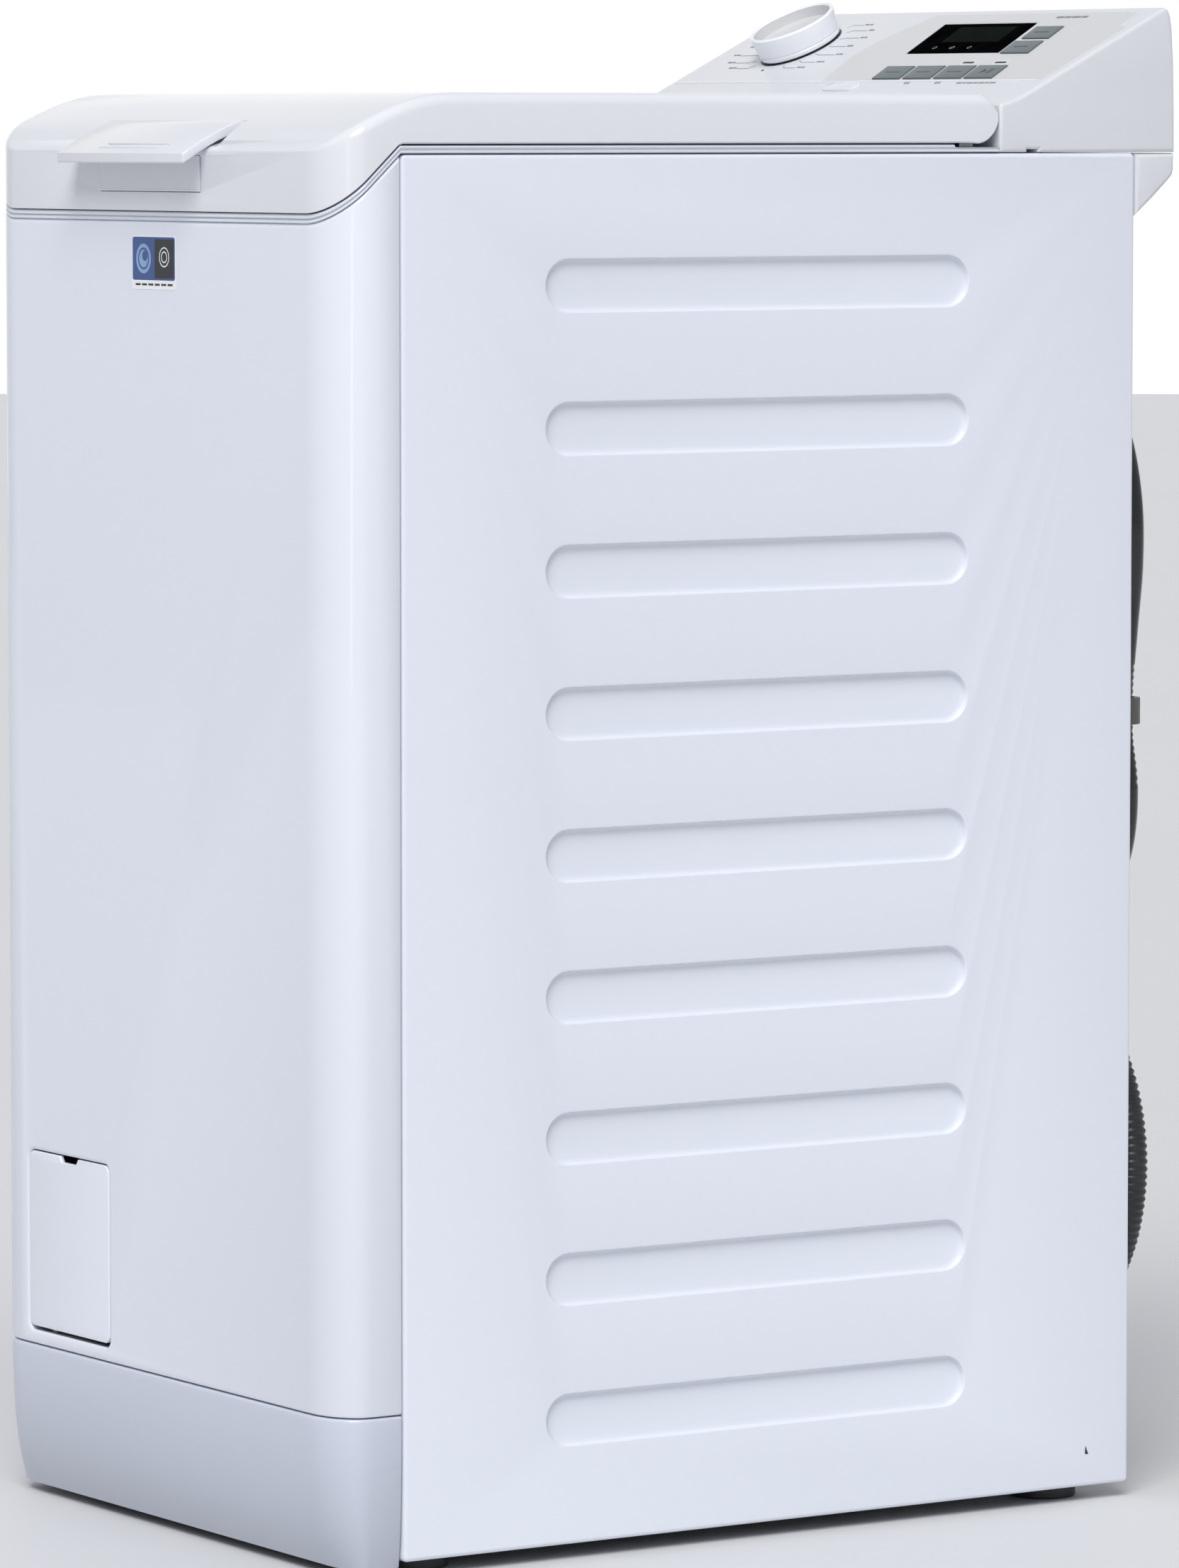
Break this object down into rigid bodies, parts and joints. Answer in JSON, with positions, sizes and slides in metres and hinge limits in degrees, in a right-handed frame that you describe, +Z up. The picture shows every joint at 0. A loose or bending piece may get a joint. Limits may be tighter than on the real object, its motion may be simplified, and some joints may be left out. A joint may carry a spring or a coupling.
{
  "type": "top load washing machine",
  "caption": "Narrow top-loading washing machine with a hinged lid, sloped control console, ribbed side panels and a horizontal-axis drum.",
  "frame": {"origin": "on the floor under the centre of the cabinet, midway between the side panels and midway between the front edge of the lid handle and the rear of the console overhang", "axes": "+X to the machine's right seen from the front, -Y out of the front, +Z up"},
  "size_m": [0.4, 0.6, 0.8973],
  "materials": {
    "painted_steel": "gloss",
    "white_plastic": "gloss",
    "trim_plastic": "satin",
    "key_plastic": "satin",
    "display_plastic": "gloss",
    "black_plastic": "satin",
    "tub_plastic": "satin",
    "stainless": "brushed",
    "galvanised": "satin",
    "black_rubber": "matte",
    "grey_rubber": "matte",
    "concrete": "rough",
    "circuit_board": "satin"
  },
  "bodies": {
    "cabinet": {"base_tray": "tub_plastic", "side_panel_left": "painted_steel", "side_panel_right": "painted_steel", "front_panel": "painted_steel", "plinth": "painted_steel", "back_panel": "galvanised", "top_frame": "trim_plastic", "dispenser_tray": "white_plastic", "console_housing": "white_plastic", "console_rear_cover": "white_plastic", "display_window": "display_plastic", "control_board": "circuit_board", "lid_hinge_left": "galvanised", "lid_hinge_right": "galvanised", "lid_lock": "black_plastic", "damper_tube_left": "black_plastic", "tub_spring_left": "galvanised", "damper_tube_right": "black_plastic", "tub_spring_right": "galvanised", "door_gasket": "grey_rubber", "sump_hose": "black_rubber", "drain_pump": "black_plastic", "inlet_valve": "white_plastic", "cable_gland": "black_plastic", "drain_outlet": "black_plastic", "drain_hose": "black_rubber", "drain_hose_cuff": "black_rubber", "inlet_hose": "black_rubber", "inlet_hose_nut": "white_plastic", "hose_clip": "tub_plastic"},
    "lid": {"lid_outer": "white_plastic", "lid_inner": "white_plastic", "lid_handle": "white_plastic"},
    "tub": {"tub_shell": "tub_plastic", "tub_side_left": "tub_plastic", "tub_side_right": "tub_plastic", "counterweight": "concrete", "motor": "galvanised", "drive_belt": "black_rubber", "damper_rod_left": "galvanised", "damper_rod_right": "galvanised"},
    "drum": {"drum_shell": "stainless", "drum_pulley": "galvanised"},
    "dial": {"dial": "white_plastic"},
    "power_button": {"power_button": "white_plastic"},
    "programme_key_1": {"programme_key_1": "key_plastic"},
    "programme_key_2": {"programme_key_2": "key_plastic"},
    "programme_key_3": {"programme_key_3": "key_plastic"},
    "programme_key_4": {"programme_key_4": "key_plastic"},
    "delay_key": {"delay_key": "key_plastic"},
    "start_key": {"start_key": "key_plastic"},
    "filter_door": {"filter_door": "painted_steel"},
    "filter_knob": {"filter_knob": "tub_plastic"},
    "drum_flap_front": {"drum_flap_front": "stainless"},
    "drum_flap_rear": {"drum_flap_rear": "stainless"},
    "motor_pulley": {"motor_pulley": "galvanised"},
    "foot_front_left": {"foot_front_left": "black_plastic"},
    "foot_front_right": {"foot_front_right": "black_plastic"},
    "foot_rear_left": {"foot_rear_left": "black_plastic"},
    "foot_rear_right": {"foot_rear_right": "black_plastic"}
  },
  "joints": [
    {"name": "lid_hinge", "type": "hinge", "parent": "cabinet", "child": "lid", "pos_m": [0, 0.1546, 0.825], "axis": [-1, 0, 0], "range_deg": [0, 95]},
    {"name": "dial_turn", "type": "hinge", "parent": "cabinet", "child": "dial", "pos_m": [-0.121, 0.25044, 0.86914], "axis": [0, -0.4454, 0.8953], "continuous": true},
    {"name": "power_button_press", "type": "slide", "parent": "cabinet", "child": "power_button", "axis": [0, 0.4454, -0.8953], "range_m": [0, 0.0015], "stiffness_N_per_m": 600, "springref_m": -0.001},
    {"name": "programme_key_1_press", "type": "slide", "parent": "cabinet", "child": "programme_key_1", "axis": [0, 0.4454, -0.8953], "range_m": [0, 0.0015], "stiffness_N_per_m": 600, "springref_m": -0.001},
    {"name": "programme_key_2_press", "type": "slide", "parent": "cabinet", "child": "programme_key_2", "axis": [0, 0.4454, -0.8953], "range_m": [0, 0.0015], "stiffness_N_per_m": 600, "springref_m": -0.001},
    {"name": "programme_key_3_press", "type": "slide", "parent": "cabinet", "child": "programme_key_3", "axis": [0, 0.4454, -0.8953], "range_m": [0, 0.0015], "stiffness_N_per_m": 600, "springref_m": -0.001},
    {"name": "programme_key_4_press", "type": "slide", "parent": "cabinet", "child": "programme_key_4", "axis": [0, 0.4454, -0.8953], "range_m": [0, 0.0015], "stiffness_N_per_m": 600, "springref_m": -0.001},
    {"name": "delay_key_press", "type": "slide", "parent": "cabinet", "child": "delay_key", "axis": [0, 0.4454, -0.8953], "range_m": [0, 0.0015], "stiffness_N_per_m": 600, "springref_m": -0.001},
    {"name": "start_key_press", "type": "slide", "parent": "cabinet", "child": "start_key", "axis": [0, 0.4454, -0.8953], "range_m": [0, 0.0015], "stiffness_N_per_m": 600, "springref_m": -0.001},
    {"name": "filter_door_hinge", "type": "hinge", "parent": "cabinet", "child": "filter_door", "pos_m": [-0.109, -0.281, 0.1095], "axis": [1, 0, 0], "range_deg": [0, 100]},
    {"name": "filter_knob_turn", "type": "hinge", "parent": "cabinet", "child": "filter_knob", "pos_m": [-0.109, -0.264, 0.155], "axis": [0, -1, 0], "range_deg": [0, 360]},
    {"name": "tub_float", "type": "slide", "parent": "cabinet", "child": "tub", "axis": [0, 0, 1], "range_m": [-0.008, 0.008], "stiffness_N_per_m": 12000, "springref_m": 0.02626, "deforming": ["tub_spring_left", "tub_spring_right", "door_gasket", "sump_hose"]},
    {"name": "drum_spin", "type": "hinge", "parent": "tub", "child": "drum", "pos_m": [0, -0.005, 0.425], "axis": [1, 0, 0], "continuous": true},
    {"name": "motor_spin", "type": "hinge", "parent": "tub", "child": "motor_pulley", "pos_m": [0.169, 0.14, 0.112], "axis": [1, 0, 0], "continuous": true},
    {"name": "flap_front_hinge", "type": "hinge", "parent": "drum", "child": "drum_flap_front", "pos_m": [0, -0.09507, 0.6377], "axis": [-1, 0, 0], "range_deg": [0, 100], "stiffness_Nm_per_rad": 0.25, "springref_deg": -34.38},
    {"name": "flap_rear_hinge", "type": "hinge", "parent": "drum", "child": "drum_flap_rear", "pos_m": [0, 0.08507, 0.6377], "axis": [1, 0, 0], "range_deg": [0, 100], "stiffness_Nm_per_rad": 0.25, "springref_deg": -34.38},
    {"name": "foot_front_left_screw", "type": "slide", "parent": "cabinet", "child": "foot_front_left", "axis": [0, 0, -1], "range_m": [0, 0.012]},
    {"name": "foot_front_right_screw", "type": "slide", "parent": "cabinet", "child": "foot_front_right", "axis": [0, 0, -1], "range_m": [0, 0.012]},
    {"name": "foot_rear_left_screw", "type": "slide", "parent": "cabinet", "child": "foot_rear_left", "axis": [0, 0, -1], "range_m": [0, 0.012]},
    {"name": "foot_rear_right_screw", "type": "slide", "parent": "cabinet", "child": "foot_rear_right", "axis": [0, 0, -1], "range_m": [0, 0.012]}
  ],
  "couplings": [
    {"joint": "motor_spin", "follows": "drum_spin", "ratio": 11.25}
  ]
}
